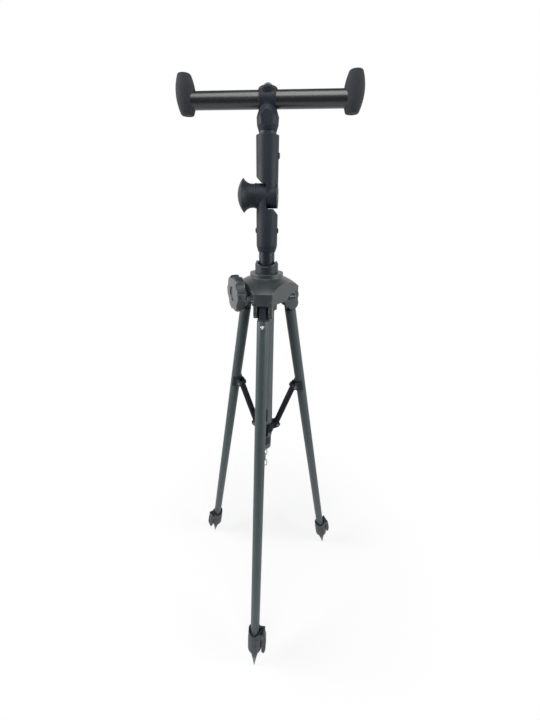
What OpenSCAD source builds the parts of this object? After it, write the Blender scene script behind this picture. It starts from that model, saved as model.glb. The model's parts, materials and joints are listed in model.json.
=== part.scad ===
// Tripod rod rest with a padded cross bar on a tilting head.
// The tripod stands on three spikes, its axis is +Z through the origin and its front leg points to -Y.

/* [Tripod] */
// Height of the leg pivots above the ground
pivot_z = 673; // [560:1:800]
// Distance of the leg pivots from the axis
pivot_r = 33; // [32:0.5:34]
// Angle of each leg from upright
leg_spread = 11.27; // [10:0.01:13]
// Half width of the clevis slot in the hub
slot_half = 7.2; // [6.6:0.1:7.6]
// Thickness of one clevis ear
ear_t = 4.6; // [4:0.1:5]
// Radius of the clevis ears about the pivot
ear_r = 10.6; // [10:0.2:11.4]
// Drop of the round feet of the ears below the leg pivots
ear_drop = 12; // [11:0.5:12.5]

/* [Hub] */
// Radius of the round ends of the hub
hub_r = 44; // [43:0.5:47]
// Distance of the flat cheeks from the axis
cheek_d = 31.6; // [30:0.2:33]
// Depth of the hub rim below the leg pivots
rim_down = 2; // [1:0.5:4]
// Height of the hub from its rim to the seat of the collar
dome_h = 33; // [31:0.5:35]
// Drop of the dome from the collar seat to the corners of the hub
dome_drop = 18.5; // [16:0.5:21]
// Radius of the raised boss under the collar
boss_r = 21.7; // [20:0.1:23]
// Radius of the recess round the head of each leg bolt
spot_r = 24; // [22:0.5:26]
// Outer diameter of the collar on the hub
collar_d = 29.8; // [28:0.2:31]
// Height of the collar on the hub at its two sides
collar_h = 16.5; // [15:0.5:18]
// Depth of the dip across the collar's rim
collar_dip = 7.5; // [6:0.5:9]

/* [Column] */
// Outer diameter of the sliding column
column_d = 20; // [19:0.1:20.4]
// Wall of the sliding column
column_wall = 1.4; // [1:0.1:2]
// Outer diameter of the fixed guide tube
guide_d = 22.4; // [22.2:0.1:23.4]
// Length of column that shows between collar and tilt joint
neck_show = 16.6; // [14:0.2:20]
// Length of column that shows below the guide tube
tail_show = 18; // [14:1:30]

/* [Tilt joint] */
// Diameter of the lower tilt sleeve
lower_d = 25.8; // [24.6:0.1:27]
// Diameter of the upper tilt sleeve
upper_d = 25.2; // [24.6:0.1:26]
// Length of the lower sleeve from its foot to its shoulder
lower_len = 41.4; // [38:0.2:46]
// Height of the tilt axis above the shoulder of the lower sleeve
tilt_up = 20; // [19:0.5:22]
// Distance from the tilt axis to the top of the upper sleeve
upper_len = 57; // [54:1:66]
// Radius of the round tongue ends
tongue_r = 12.9; // [12:0.1:13]
// Half width of the joint at the tongue faces
tongue_w = 12.3; // [11:0.1:12.4]
// Diameter of the tilt bolt
tilt_bolt_d = 8; // [6:0.5:9]
// Diameter of the tilt knob
tilt_knob_d = 36; // [34:0.2:40]
// Length of the tilt knob
tilt_knob_len = 20.4; // [19:0.2:22]
// Diameter of the tilt knob at its waist
tilt_knob_waist = 25; // [22:0.5:26]

/* [Head] */
// Diameter of the cross bar
bar_d = 15.6; // [14:0.2:16]
// Wall of the cross bar
bar_wall = 1.4; // [1:0.1:2]
// Height of the bumper middles above the bar axis
bumper_up = 4.5; // [0:0.5:6]
// Distance between the axes of the two bumpers
bumper_span = 173.6; // [160:0.2:210]
// Largest diameter of a bumper
bumper_d = 20.8; // [20:0.2:23]
// Diameter of a bumper at its ends
bumper_end_d = 13.4; // [12:0.2:15]
// Height of a bumper
bumper_h = 33.4; // [31:0.2:36]
// Diameter of the stem under the head
stem_d = 19.2; // [18:0.2:20]
// Length of stem that shows between sleeve and head
stem_show = 3.5; // [2:0.5:6]
// Diameter of the head's top flange
head_top_d = 20.2; // [19.6:0.2:22]
// Diameter of the head at its waist
head_waist_d = 17.2; // [16.8:0.1:17.4]
// Wall of the socket round the cross bar
head_wall = 1.5; // [1.2:0.1:1.6]
// Half length of the socket round the cross bar
head_half = 8.8; // [8.4:0.1:9.2]
// Diameter of the head at its foot
head_foot_d = 24; // [22:0.2:25]
// Height of the bar axis above the foot of the head
bar_up = 26.5; // [24:0.5:30]
// Distance of the head's flats from its axis
head_flat = 10.1; // [9.8:0.1:10.8]

/* [Legs] */
// Outer diameter of a leg tube
leg_d = 16; // [15.6:0.1:17]
// Wall of a leg tube
leg_wall = 1.1; // [0.8:0.1:1.4]
// Distance from pivot to the top of the leg tube
tube_top = 23.5; // [22.5:0.5:26]
// Distance from the ground tip to the foot of the lock collar
foot_clear = 47; // [44:1:54]
// Length of a lock collar
lock_len = 56; // [52:1:62]
// Largest diameter of a lock collar
lock_d = 25.2; // [24.4:0.2:26.4]
// Depth of the dip across the rim of a lock collar
lock_dip = 10; // [8:0.5:11]
// Length of inner tube that stays in the leg when it is drawn out
inner_hold = 80; // [60:5:110]
// Travel of the inner tube
leg_travel = 320; // [200:5:330]
// Length of the spike that shows
spike_len = 29; // [26:1:32]
// Diameter of the spike at its root
spike_d = 10; // [9:0.2:11]
// Length of a lock lever below its pin
lever_len = 44; // [40:1:50]
// Width of a lock lever
lever_w = 11; // [10:0.5:13]

/* [Brace] */
// Distance of the brace brackets from the leg pivots
bracket_down = 158; // [145:1:180]
// Offset of the brace pivots from the leg axis
bracket_off = 14; // [13:0.5:15]
// Length of a strut between its pivots
strut_len = 75; // [70:1:80]
// Width of a strut
strut_w = 8; // [7:0.2:9]
// Depth of a strut
strut_t = 6; // [5:0.2:7]
// Radius of the lower brace pivots
brace_r = 19.5; // [19:0.5:20]
// Drop of the brace collar as the legs fold
brace_drop = 8.5; // [7:0.25:10]

/* [Fasteners] */
// Diameter of the leg bolts
leg_bolt_d = 6; // [5:0.2:7]
// Diameter of the brace pins
brace_pin_d = 3.2; // [2.6:0.1:3.6]
// Diameter of the clamp screw
clamp_d = 8; // [6:0.5:9]
// Diameter of the clamp knob
clamp_knob_d = 47; // [40:0.5:50]
// Thickness of the clamp knob
clamp_knob_t = 12; // [10:0.5:15]
// Gap between the hub's cheek and the clamp knob
clamp_gap = 4.6; // [3.8:0.2:7]
// Depth of the recess that the clamp screw comes out of
clamp_in = 7.6; // [6:0.2:9]
// Diameter of the wire of the hook chain
link_wire = 1.4; // [1.2:0.1:1.8]

/* [Fits] */
// Radial clearance of parts that slide or turn in each other
run_fit = 0.05; // [0.03:0.01:0.08]
// Gap between flat faces that turn past each other
face_gap = 0.3; // [0.2:0.05:0.5]

/* [Hidden] */
$fn = 64;
front = 0;
right = 1;
left = 2;
leg_turn = [0, 120, -120];
// side of each lock collar on which its lever lies, from outwards, about the leg
lever_turn = [90, 0, 70];

leg_len = pivot_z / cos(leg_spread);
rim_z = pivot_z - rim_down;
dome_top = rim_z + dome_h;
cap_top = dome_top - 1.4;
cap_h = dome_drop - 1.4;
cap_r = (hub_r * hub_r + cap_h * cap_h) / (2 * cap_h);
collar_top = dome_top + collar_h - collar_dip;
ear_out = slot_half + ear_t;
ear_foot_r = 8.5;

lower_z = collar_top + neck_show;
lower_rivet_z = lower_z + 24.4;
shoulder_z = lower_z + lower_len;
tilt_z = shoulder_z + tilt_up;
upper_top = tilt_z + upper_len;
head_z = upper_top + stem_show;
bar_z = head_z + bar_up;
head_top = bar_z + bar_d / 2 + 1.8;

bracket_r = pivot_r + bracket_down * sin(leg_spread) - bracket_off * cos(leg_spread);
bracket_z = pivot_z - bracket_down * cos(leg_spread) - bracket_off * sin(leg_spread);
strut_lean = asin((bracket_r - brace_r) / strut_len);
brace_z = bracket_z - strut_len * cos(strut_lean);
brace_half = 6.5;
brace_lug = 5.5;
guide_end = brace_z - brace_drop - brace_half - 2;
column_end = guide_end - tail_show;
plug_h = 12;

lock_foot = leg_len - foot_clear;
lock_head = lock_foot - lock_len;
lock_rim_r = (lock_d * lock_d / 4 + lock_dip * lock_dip) / (2 * lock_dip);
lever_off = 2.4;
lever_pin_at = lock_head + 13;
cone_top = lock_foot + face_gap;
cone_end = leg_len - spike_len;
shank_d = 5.6;
inner_d = leg_d - 2 * leg_wall - 2 * run_fit;
inner_top = lock_foot - leg_travel - inner_hold;

clamp_z = rim_z + 9;
clamp_turn = -60;
clamp_nut_w = 13;
clamp_nut_t = 6.5;

link_in = 2.4;
link_straight = 9;
eye_z = column_end - plug_h - 1.6;

// Places a shape drawn with the pivot at the origin and the leg along -Z, outside at -Y
module on_leg(i)
  rotate([0, 0, leg_turn[i]]) translate([0, -pivot_r, pivot_z]) rotate([-leg_spread, 0, 0]) children();

// Ring between two heights
module ring(r_out, r_in, z0, z1)
  translate([0, 0, z0]) difference() {
    cylinder(r = r_out, h = z1 - z0);
    translate([0, 0, -1]) cylinder(r = r_in, h = z1 - z0 + 2);
  }

// Cylinder along X between two places
module rod_x(r, x0, x1)
  translate([x0, 0, 0]) rotate([0, 90, 0]) cylinder(r = r, h = x1 - x0);

// Places a shape drawn along +Z so that it points out of the clamped cheek of the hub
module on_clamp()
  translate([0, 0, clamp_z]) rotate([0, 0, clamp_turn]) rotate([90, 0, 0]) children();

// Dome with crisp corners, three flat cheeks and a raised boss under the collar
module hub_dome()
  intersection() {
    rotate_extrude() union() {
      intersection() {
        translate([0, cap_top - cap_r]) circle(r = cap_r, $fn = 192);
        translate([0, rim_z]) square([hub_r, dome_h]);
      }
      translate([0, rim_z]) square([boss_r, dome_h]);
    }
    translate([0, 0, rim_z - 1]) linear_extrude(dome_h + 4)
      polygon([for (a = [-90 : 120 : 150]) 2 * cheek_d * [cos(a), sin(a)]]);
  }

// Pair of clevis ears at one leg
module ears(i)
  for (s = [-1, 1]) {
    rotate([0, 0, leg_turn[i]]) {
      translate([s * (slot_half + ear_t / 2), -pivot_r, pivot_z]) rotate([0, 90, 0])
        cylinder(r = ear_r, h = ear_t, center = true);
      translate([s * (slot_half + ear_t / 2) - ear_t / 2, -pivot_r - 8, rim_z - 7])
        cube([ear_t, pivot_r - 8, 10]);
    }
    on_leg(i) translate([s * (slot_half + ear_t / 2), 0, -ear_drop]) {
      rotate([0, 90, 0]) cylinder(r = ear_foot_r, h = ear_t, center = true);
      translate([-ear_t / 2, -ear_foot_r, 0]) cube([ear_t, 2 * ear_foot_r, ear_drop]);
    }
  }

// Slot, recess for the bolt head and blind bolt hole at one leg
module clevis_cut(i)
  rotate([0, 0, leg_turn[i]]) {
    translate([-slot_half, -hub_r + 1.8, pivot_z - 2 * ear_r])
      cube([2 * slot_half, hub_r - 22, 2 * ear_r + 9]);
    translate([0, -pivot_r - 3, pivot_z + 6.5 - spot_r]) rod_x(spot_r, -ear_out - 20, -ear_out);
    translate([0, -pivot_r, pivot_z]) rod_x(leg_bolt_d / 2 + run_fit, -ear_out - 12, ear_out + 2);
  }

module hub_body() color("#34393a")
  difference() {
    union() {
      hub_dome();
      for (i = [front, right, left]) ears(i);
      translate([0, 0, rim_z - 16]) cylinder(d = guide_d + 7, h = 18);
    }
    for (i = [front, right, left]) clevis_cut(i);
    translate([0, 0, rim_z - 30]) cylinder(d = guide_d + 2 * run_fit, h = 30 + dome_top - 6 - rim_z);
    translate([0, 0, rim_z]) cylinder(d = column_d + 1, h = dome_h + 10);
    translate([0, 0, dome_top - 3]) cylinder(d = collar_d - 5.4, h = 6);
    on_clamp() cylinder(d = clamp_d + 0.6, h = hub_r);
    on_clamp() translate([0, 0, cheek_d - clamp_in - clamp_nut_t])
      cylinder(d = clamp_nut_w + 0.2, h = 20, $fn = 6);
    on_clamp() translate([0, 0, cheek_d - clamp_in]) cylinder(d = clamp_d + 9, h = 20);
    on_clamp() translate([-clamp_d / 2 - 4.5, -20, cheek_d - clamp_in]) cube([clamp_d + 9, 20, 20]);
  }

module guide_tube() color("#3a4042")
  difference() {
    translate([0, 0, guide_end]) cylinder(d = guide_d, h = dome_top - 6 - guide_end);
    translate([0, 0, guide_end - 1]) cylinder(d = column_d + 2 * run_fit, h = dome_top - guide_end);
    on_clamp() cylinder(d = clamp_d + 0.6, h = guide_d);
  }

module leg_pivot_bolts() color("#8d9294")
  for (i = [front, right, left]) rotate([0, 0, leg_turn[i]]) translate([0, -pivot_r, pivot_z]) {
    rod_x(leg_bolt_d / 2, -ear_out - 0.1, ear_out + 1.5);
    difference() {
      rod_x(leg_bolt_d * 0.85, -ear_out - 2.6, -ear_out);
      translate([-ear_out - 3.4, -leg_bolt_d, -0.7]) cube([2, 2 * leg_bolt_d, 1.4]);
    }
  }

module clamp_nut() color("#c9c9c4")
  on_clamp() translate([0, 0, cheek_d - clamp_in - clamp_nut_t]) difference() {
    cylinder(d = clamp_nut_w, h = clamp_nut_t, $fn = 6);
    translate([0, 0, -1]) cylinder(d = clamp_d + 2 * run_fit, h = clamp_nut_t + 2);
  }

module hub_collar() color("#25292b")
  translate([0, 0, dome_top]) difference() {
    scoop_r = (collar_d * collar_d / 4 + collar_dip * collar_dip) / (2 * collar_dip);
    rotate_extrude() difference() {
      union() {
        polygon([
          [0, 0], [collar_d / 2, 0], [collar_d / 2, collar_h - 6], [collar_d / 2 - 2.6, collar_h], [0, collar_h]
        ]);
        translate([0, -2.6]) square([collar_d / 2 - 3, 3]);
      }
      translate([-1, -4]) square([1 + column_d / 2 + run_fit, collar_h + 8]);
      translate([0, 5]) square([collar_d / 2 - 3.4, collar_h]);
    }
    translate([0, 0, collar_h - collar_dip + scoop_r]) rotate([90, 0, 0])
      cylinder(r = scoop_r, h = 2 * collar_d, center = true, $fn = 96);
  }

// Rounded lobe knob, its inner face at z = 0
module lobe_knob(d, t, bore)
  difference() {
    intersection() {
      cylinder(d = d, h = t);
      rotate_extrude() {
        square([d / 2 - 2, t]);
        translate([d / 2 - 2, 2]) circle(r = 2, $fn = 32);
        translate([d / 2 - 4, t - 4]) circle(r = 4, $fn = 48);
        translate([0, 2]) square([d / 2, t - 6]);
      }
    }
    for (a = [30 : 60 : 330]) rotate([0, 0, a]) translate([d * 0.66, 0, -1])
      cylinder(d = d * 0.5, h = t + 2);
    translate([0, 0, -1]) cylinder(d = bore, h = t - 2);
    translate([0, 0, t - 1.2]) cylinder(d = d * 0.4, h = 3);
  }

module clamp_knob() color("#3b4143")
  on_clamp() translate([0, 0, cheek_d + clamp_gap]) {
    lobe_knob(clamp_knob_d, clamp_knob_t, clamp_d + 2 * run_fit);
    translate([0, 0, -3]) ring(clamp_d / 2 + 4, clamp_d / 2 + run_fit, 0, 3);
  }

module clamp_stud() color("#d5d8d8")
  on_clamp() {
    stud_in = column_d / 2 + face_gap;
    translate([0, 0, stud_in]) cylinder(d = clamp_d, h = cheek_d + clamp_gap + clamp_knob_t - 3 - stud_in);
  }

module column_tube() color("#2a2e31")
  difference() {
    translate([0, 0, column_end]) cylinder(d = column_d, h = lower_z + lower_len - 12 - column_end);
    translate([0, 0, column_end - 1])
      cylinder(d = column_d - 2 * column_wall, h = lower_z + lower_len - column_end);
    translate([0, 0, lower_rivet_z]) rod_x(2 + run_fit, -lower_d, lower_d);
  }

module column_plug() color("#2f3436")
  difference() {
    union() {
      translate([0, 0, column_end - plug_h]) rotate_extrude() {
        square([column_d / 2 - 4, plug_h]);
        translate([0, 4]) square([column_d / 2 - 0.2, plug_h - 4]);
        translate([column_d / 2 - 4.2, 4]) circle(r = 4, $fn = 48);
      }
      translate([0, 0, column_end]) cylinder(d = column_d - 2 * column_wall - 2 * run_fit, h = 14);
      translate([-1.5, -4, eye_z - 3.4]) cube([3, 8, 6]);
      translate([0, 0, eye_z - 3.4]) rotate([0, 90, 0]) cylinder(r = 4, h = 3, center = true);
    }
    translate([0, 0, eye_z - 3.4]) rotate([0, 90, 0]) cylinder(r = link_wire / 2 + 0.9, h = 8, center = true);
    translate([-column_d, -1.6, column_end - plug_h + 4]) cube([2 * column_d, 3.2, plug_h + 12]);
  }

module lower_tilt_sleeve() color("#2b3036")
  difference() {
    union() {
      translate([0, 0, lower_z + 7]) cylinder(d = lower_d, h = lower_len + tilt_up - 7);
      translate([0, 0, lower_z]) cylinder(d1 = lower_d - 4, d2 = lower_d, h = 7);
      translate([0, 0, tilt_z]) rod_x(tongue_r, -tongue_w, -face_gap / 2);
    }
    translate([-face_gap / 2, -20, tilt_z - tongue_r - 0.35]) cube([40, 40, 60]);
    translate([6.4, -20, tilt_z - tongue_r - 0.35]) rotate([0, 45, 0]) cube([20, 40, 20]);
    translate([-40 - tongue_w, -20, shoulder_z + 4]) cube([40, 40, 60]);
    translate([0, 0, tilt_z]) difference() {
      translate([-20, -20, 0]) cube([40, 40, 40]);
      rod_x(tongue_r, -30, 30);
    }
    translate([0, 0, lower_z - 1]) cylinder(d = column_d + 2 * run_fit, h = lower_len - 11);
    translate([0, 0, lower_rivet_z]) rod_x(2 + run_fit, -lower_d, lower_d);
    translate([0, 0, tilt_z]) rod_x(tilt_bolt_d / 2 + run_fit, -30, 30);
  }

module lower_sleeve_rivet() color("#1f2326")
  translate([0, 0, lower_rivet_z]) {
    rod_x(2, -lower_d / 2 - 0.2, lower_d / 2 + 0.2);
    for (s = [0, 1]) mirror([s, 0, 0]) translate([lower_d / 2, 0, 0]) rotate([0, 90, 0])
      cylinder(r1 = 3.4, r2 = 2.2, h = 1.2);
  }

module upper_tilt_sleeve() color("#2b3036")
  difference() {
    union() {
      translate([0, 0, tilt_z]) cylinder(d = upper_d, h = upper_len);
      translate([0, 0, tilt_z]) rod_x(tongue_r, face_gap / 2, tongue_w);
    }
    translate([-40 + face_gap / 2, -20, tilt_z - 40]) cube([40, 40, 40 + tongue_r + 0.35]);
    translate([-6.4, -20, tilt_z + tongue_r + 0.35]) rotate([0, -135, 0]) cube([20, 40, 20]);
    translate([tongue_w, -20, tilt_z - 40]) cube([40, 40, 40 + tongue_r]);
    translate([0, 0, tilt_z - 40]) difference() {
      translate([-20, -20, 0]) cube([40, 40, 40]);
      translate([0, 0, 40]) rod_x(tongue_r, -30, 30);
    }
    translate([0, 0, upper_top - 28]) cylinder(d = stem_d + 2 * run_fit, h = 40);
    translate([0, 0, upper_top - 4]) cylinder(d1 = stem_d, d2 = upper_d - 2, h = 4.02);
    translate([0, 0, upper_top - 18]) rod_x(2 + run_fit, 0, 30);
    translate([0, 0, tilt_z]) rod_x(tilt_bolt_d / 2 + run_fit, -30, 30);
    translate([0, 0, tilt_z]) rod_x(tilt_bolt_d * 0.8 + run_fit, tongue_w - 4, 30);
  }

module upper_sleeve_rivet() color("#1f2326")
  translate([0, 0, upper_top - 18]) {
    rod_x(2, stem_d / 2 - 4, upper_d / 2 + 0.2);
    translate([upper_d / 2, 0, 0]) rotate([0, 90, 0]) cylinder(r1 = 3.4, r2 = 2.2, h = 1.2);
  }

module tilt_bolt() color("#7d8284")
  translate([0, 0, tilt_z]) {
    rod_x(tilt_bolt_d / 2, -tongue_w - 16, tongue_w - 3.5);
    difference() {
      rod_x(tilt_bolt_d * 0.8, tongue_w - 4, tongue_w - 0.4);
      translate([tongue_w - 3, 0, 0]) rotate([0, 90, 0]) cylinder(d = tilt_bolt_d * 0.6, h = 5, $fn = 6);
    }
  }

module tilt_washer() color("#3a4043")
  translate([-tongue_w - 1.8, 0, tilt_z]) rotate([0, 90, 0])
    ring(tilt_knob_waist / 2 + 0.6, tilt_bolt_d / 2 + run_fit, 0, 1.6);

// Trumpet knob drawn along +Z from its inner face
module trumpet_knob()
  rotate_extrude() difference() {
    flare = 3;
    cap = 7;
    wide = tilt_knob_len - cap;
    rise = (tilt_knob_d - tilt_knob_waist) / 2;
    flare_r = ((wide - flare) * (wide - flare) + rise * rise) / (2 * rise);
    bulge_r = (tilt_knob_d * tilt_knob_d / 4 + cap * cap) / (2 * cap);
    union() {
      square([tilt_knob_d / 2, wide]);
      intersection() {
        translate([0, tilt_knob_len - bulge_r]) circle(r = bulge_r, $fn = 192);
        translate([0, wide - 1]) square([tilt_knob_d / 2, cap + 2]);
      }
    }
    translate([tilt_knob_waist / 2 + flare_r, flare]) circle(r = flare_r, $fn = 96);
    translate([tilt_knob_waist / 2, -1]) square([40, flare + 1]);
    translate([-1, -1]) square([1 + tilt_bolt_d / 2 + 3.2, tilt_knob_len - 4]);
  }

module tilt_knob() color("#2e3336")
  translate([-tongue_w - 2, 0, tilt_z]) rotate([0, -90, 0]) trumpet_knob();

module tilt_nut() color("#b6a26a")
  translate([-tongue_w - 2, 0, tilt_z]) rotate([0, -90, 0])
    ring(tilt_bolt_d / 2 + 3.2, tilt_bolt_d / 2 + run_fit, 0.2, 15);

module head_stem() color("#23282b")
  difference() {
    translate([0, 0, upper_top - 27.5]) cylinder(d = stem_d, h = 27.5 + stem_show);
    translate([0, 0, upper_top - 18]) rod_x(2 + run_fit, stem_d / 2 - 4.2, 30);
    translate([0, 0, head_z - 14]) cylinder(d = 5 + 2 * run_fit, h = 40);
  }

// Outline of the head from its foot to its top flange
module head_profile()
  difference() {
    union() {
      polygon([
        [0, 0], [stem_d / 2 + 0.2, 0], [head_foot_d / 2 - 0.4, 5], [head_foot_d / 2, 12],
        [head_waist_d / 2, 21], [head_waist_d / 2, bar_up + 3.5], [head_top_d / 2, bar_up + 6],
        [0, bar_up + 6]
      ]);
      translate([0, bar_up + 5]) square([head_top_d / 2 - 2, head_top - head_z - bar_up - 5]);
      translate([head_top_d / 2 - 2, head_top - head_z - 2]) circle(r = 2, $fn = 32);
    }
    translate([-50, -1]) square([50, 100]);
  }

module head_body() color("#2d3237")
  difference() {
    union() {
      translate([0, 0, head_z]) rotate_extrude() head_profile();
      translate([0, 0, bar_z]) rod_x(bar_d / 2 + head_wall, -head_half, head_half);
    }
    for (s = [-1, 1]) translate([-20, s * (head_flat + 10) - 10, head_z + 4]) cube([40, 20, 20]);
    translate([0, 0, bar_z]) rod_x(bar_d / 2 + run_fit, -30, 30);
    translate([0, 0, head_z - 1]) cylinder(d = 5 + 2 * run_fit, h = 60);
  }

module head_screw() color("#4a4f52")
  union() {
    translate([0, 0, head_z - 12]) cylinder(d = 5, h = head_top - head_z + 13);
    translate([0, 0, head_top]) intersection() {
      cylinder(d = 9.2, h = 4, $fn = 6);
      translate([0, 0, -2.4]) sphere(r = 6.2);
    }
  }

module cross_bar() color("#1c1f22")
  difference() {
    half = bumper_span / 2 - 4;
    translate([0, 0, bar_z]) rod_x(bar_d / 2, -half, half);
    translate([0, 0, bar_z]) rod_x(bar_d / 2 - bar_wall, -half - 1, half + 1);
    translate([0, 0, head_z]) cylinder(d = 5 + 2 * run_fit, h = 60);
  }

module bar_end_plugs() color("#3c4043")
  for (s = [-1, 1]) translate([0, 0, bar_z]) mirror([s > 0 ? 0 : 1, 0, 0]) {
    rod_x(bar_d / 2 - bar_wall - run_fit, bumper_span / 2 - 16, bumper_span / 2 - 4);
    rod_x(2.5, bumper_span / 2 - 4.5, bumper_span / 2 + 4);
  }

// Foam barrel with its axis upright, drawn at the left end of the bar
module bumper()
  difference() {
    swell = (bumper_d - bumper_end_d) / 2;
    arc_r = (bumper_h * bumper_h / 4 + swell * swell) / (2 * swell);
    translate([-bumper_span / 2, 0, bar_z + bumper_up]) rotate_extrude() intersection() {
      translate([bumper_d / 2 - arc_r, 0]) circle(r = arc_r, $fn = 192);
      translate([0, -bumper_h / 2]) square([bumper_d, bumper_h]);
    }
    translate([-bumper_span / 2, 0, bar_z]) rod_x(bar_d / 2 + run_fit, 4 - run_fit, bumper_d);
    translate([-bumper_span / 2, 0, bar_z]) rod_x(2.5 + run_fit, -4 - run_fit, 6);
  }

module left_bumper() color("#26292c") bumper();

module right_bumper() color("#26292c") rotate([0, 0, 180]) bumper();

module knuckle(i) color("#1d2124")
  on_leg(i) difference() {
    half = slot_half - face_gap;
    union() {
      rod_x(8.4, -half, half);
      translate([-4.2, -6.5, -tube_top]) cube([8.4, 13, tube_top]);
      translate([-half, -0.5, -tube_top]) cube([2 * half, 4.5, tube_top]);
      translate([0, 0, -tube_top]) cylinder(d = leg_d - 1, h = tube_top - ear_drop - ear_foot_r - 1.1);
      translate([0, 0, -tube_top - 24]) cylinder(d = leg_d - 2 * leg_wall - 2 * run_fit, h = 25);
    }
    rod_x(leg_bolt_d / 2 + run_fit, -20, 20);
  }

module leg_tube(i) color("#454c4e")
  on_leg(i) ring(leg_d / 2, leg_d / 2 - leg_wall, -lock_foot + 4, -tube_top);

module bracket(i) color("#202427")
  on_leg(i) translate([0, 0, -bracket_down]) {
    lug = 2.4;
    difference() {
      union() {
        translate([0, 0, -9]) cylinder(d = leg_d + 3.4, h = 18);
        for (s = [-1, 1]) translate([s * (strut_w / 2 + face_gap + lug / 2), 0, 0]) rotate([0, 90, 0])
          linear_extrude(lug, center = true) union() {
            translate([-7, 0]) square([14, bracket_off - 2]);
            translate([0, bracket_off - 1]) circle(r = 5.2);
          }
      }
      translate([0, 0, -10]) cylinder(d = leg_d + 2 * run_fit, h = 20);
      translate([-20, -20, -10]) cube([40, 21, 20]);
      translate([0, bracket_off, 0]) rod_x(brace_pin_d / 2 + run_fit, -20, 20);
    }
  }

module bracket_pin(i) color("#9a9fa1")
  on_leg(i) translate([0, 0, -bracket_down]) {
    out = strut_w / 2 + face_gap + 2.4;
    translate([0, bracket_off, 0]) {
      rod_x(brace_pin_d / 2, -out - 0.6, out + 0.6);
      for (s = [0, 1]) mirror([s, 0, 0]) rod_x(brace_pin_d / 2 + 0.9, out, out + 1.1);
    }
  }

module lock_collar(i) color("#2a2f31")
  on_leg(i) difference() {
    union() {
      translate([0, 0, -lock_foot]) rotate_extrude() difference() {
        polygon([
          [0, 0], [lock_d / 2 - 4, 0], [lock_d / 2, 6], [lock_d / 2, 0.55 * lock_len],
          [lock_d / 2 - 1, lock_len], [0, lock_len]
        ]);
        translate([-1, -1]) square([1 + leg_d / 2 - 1.6, lock_len + 2]);
        translate([0, 4]) square([leg_d / 2 + run_fit, lock_len]);
        polygon([
          [0, lock_len - 20], [leg_d / 2 + run_fit, lock_len - 20],
          [lock_d / 2 - 2.4, lock_len + 0.1], [0, lock_len + 0.1]
        ]);
      }
      rotate([0, 0, lever_turn[i]]) for (s = [-1, 1])
        translate([s * (lever_w / 2 + face_gap + 1.3) - 1.3, -lock_d / 2 - 5.4, -lever_pin_at - 6])
          cube([2.6, 9.4, 11]);
    }
    rotate([0, 0, lever_turn[i]]) translate([0, 0, lock_rim_r - lock_dip - lock_head])
      rod_x(lock_rim_r, -lock_d, lock_d);
    rotate([0, 0, lever_turn[i]]) for (d = [17, 32])
      translate([-lock_d, -lock_d, -lock_head - d]) cube([lock_d - leg_d / 2 - 1.5, lock_d + 2, 1.8]);
    rotate([0, 0, lever_turn[i]]) translate([0, -lock_d / 2 - lever_off, -lever_pin_at])
      rod_x(1.5 + run_fit, -20, 20);
    rotate([0, 0, lever_turn[i]]) translate([-lever_w / 2 - face_gap, -lock_d / 2 - 8, -lever_pin_at - 8])
      cube([lever_w + 2 * face_gap, 10.6, 13]);
    translate([0, 0, -lock_foot - 1]) cylinder(d = leg_d - 2 * leg_wall, h = 10);
  }

module lever(i) color("#24282a")
  on_leg(i) rotate([0, 0, lever_turn[i]])
  translate([0, -lock_d / 2 - lever_off, -lever_pin_at]) difference() {
    union() {
      rod_x(3.6, -lever_w / 2, lever_w / 2);
      translate([-lever_w / 2, 0, 0]) rotate([90, 0, 90]) linear_extrude(lever_w) polygon([
        [-3.6, 0], [3.6, 0], [2, -4], [2, -lever_len + 4], [-1, -lever_len],
        [-4, -lever_len + 2], [-5.8, -lever_len + 12], [-5.4, -9]
      ]);
    }
    rod_x(1.5 + run_fit, -20, 20);
    translate([0, -10, -lever_len + 12]) rotate([-90, 0, 0]) linear_extrude(20) union() {
      translate([-1.5, -16]) square([3, 16]);
      circle(r = 1.5);
      translate([0, -16]) circle(r = 1.5);
    }
  }

module lever_pin(i) color("#a7abad")
  on_leg(i) rotate([0, 0, lever_turn[i]]) translate([0, -lock_d / 2 - lever_off, -lever_pin_at])
    rod_x(1.5, -lever_w / 2 - 3.2, lever_w / 2 + 3.2);

module inner_tube(i) color("#6f7577")
  on_leg(i) ring(inner_d / 2, inner_d / 2 - 1, -lock_foot - 1, -inner_top);

module foot_cone(i) color("#33383a")
  on_leg(i) difference() {
    union() {
      translate([0, 0, -cone_end]) rotate_extrude() polygon([
        [0, 0], [spike_d / 2 + 0.2, 0], [lock_d / 2 - 4.4, cone_end - cone_top], [0, cone_end - cone_top]
      ]);
      translate([0, 0, -cone_top]) cylinder(d = inner_d - 2 - 2 * run_fit, h = 14);
    }
    translate([0, 0, -lock_foot - 1 - 0.05]) difference() {
      cylinder(r = inner_d / 2 + 0.05, h = 4);
      translate([0, 0, -1]) cylinder(d = inner_d - 2 - 2 * run_fit, h = 6);
    }
    translate([0, 0, -cone_end - 1]) cylinder(d = shank_d + 2 * run_fit, h = 16);
  }

module spike(i) color("#8a8f91")
  on_leg(i) {
    translate([0, 0, -leg_len]) cylinder(d1 = 0.8, d2 = spike_d, h = spike_len);
    translate([0, 0, -cone_end]) cylinder(d = shank_d, h = 14);
  }

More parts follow.
